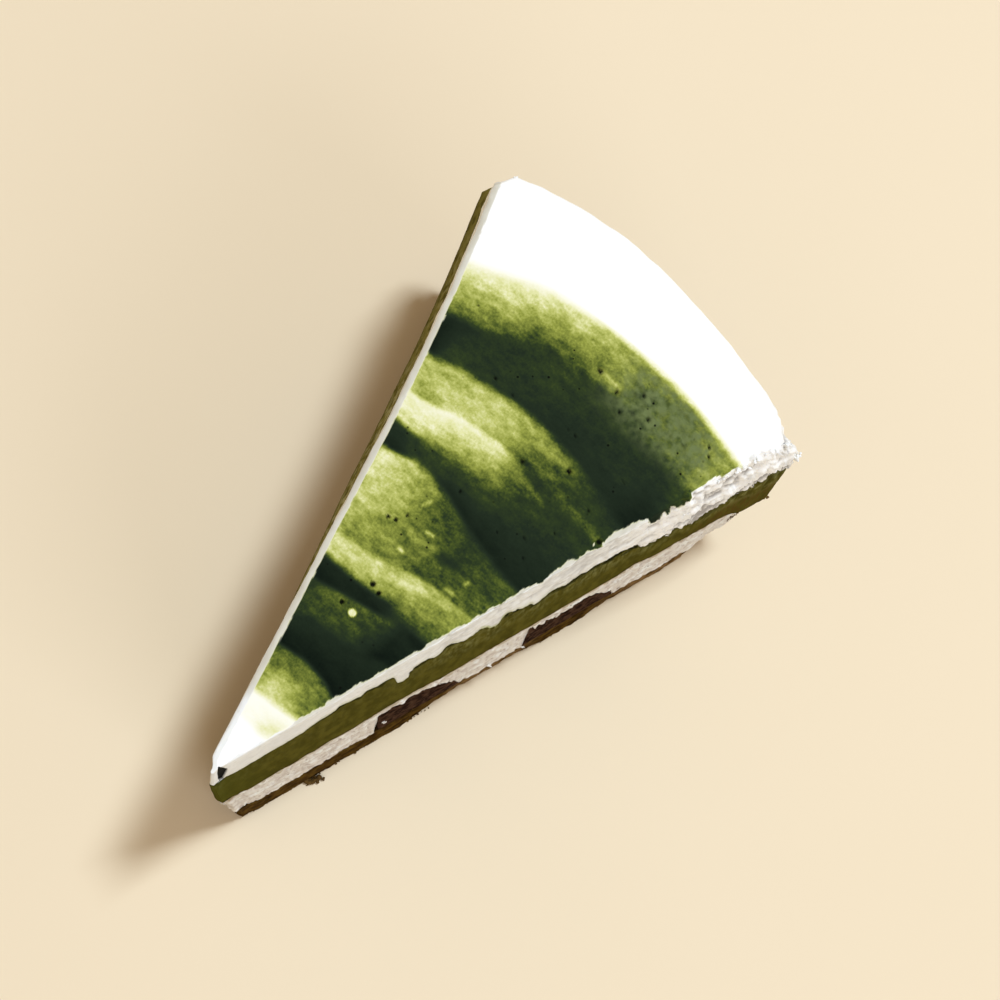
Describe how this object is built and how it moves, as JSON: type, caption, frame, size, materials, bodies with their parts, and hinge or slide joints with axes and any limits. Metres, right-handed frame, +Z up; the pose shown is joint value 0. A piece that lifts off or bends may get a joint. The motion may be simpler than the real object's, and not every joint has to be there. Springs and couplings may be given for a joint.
{
  "type": "matcha cake slice",
  "caption": "Pointed slice of round layered matcha cake: thin sponge, cream with dark filling, smooth matcha layer and a thick cream top with a marbled surface.",
  "frame": {"origin": "on the flat underside, 60 mm from the whole cake's axis towards the middle of the rim", "axes": "+X along the slice from its point to its rim, +Y towards its left cut, +Z up"},
  "size_m": [0.1024, 0.0647, 0.052],
  "materials": {
    "sponge": "open crumb of a thin dark olive-brown sponge, matt",
    "lower_cream": "cut whipped cream, off-white, rough and matt",
    "filling": "dark red-brown paste with coarse grain, slightly moist",
    "matcha": "dense smooth olive-green matcha mousse, cut clean, satin",
    "top_cream": "white cream, smooth on top and ragged at the cuts, its top marbled with green matcha strokes"
  },
  "bodies": {
    "root": {"base_sponge": "sponge", "lower_cream": "lower_cream", "filling_inner": "filling", "filling_outer": "filling", "matcha_layer": "matcha", "top_cream": "top_cream"}
  },
  "joints": []
}
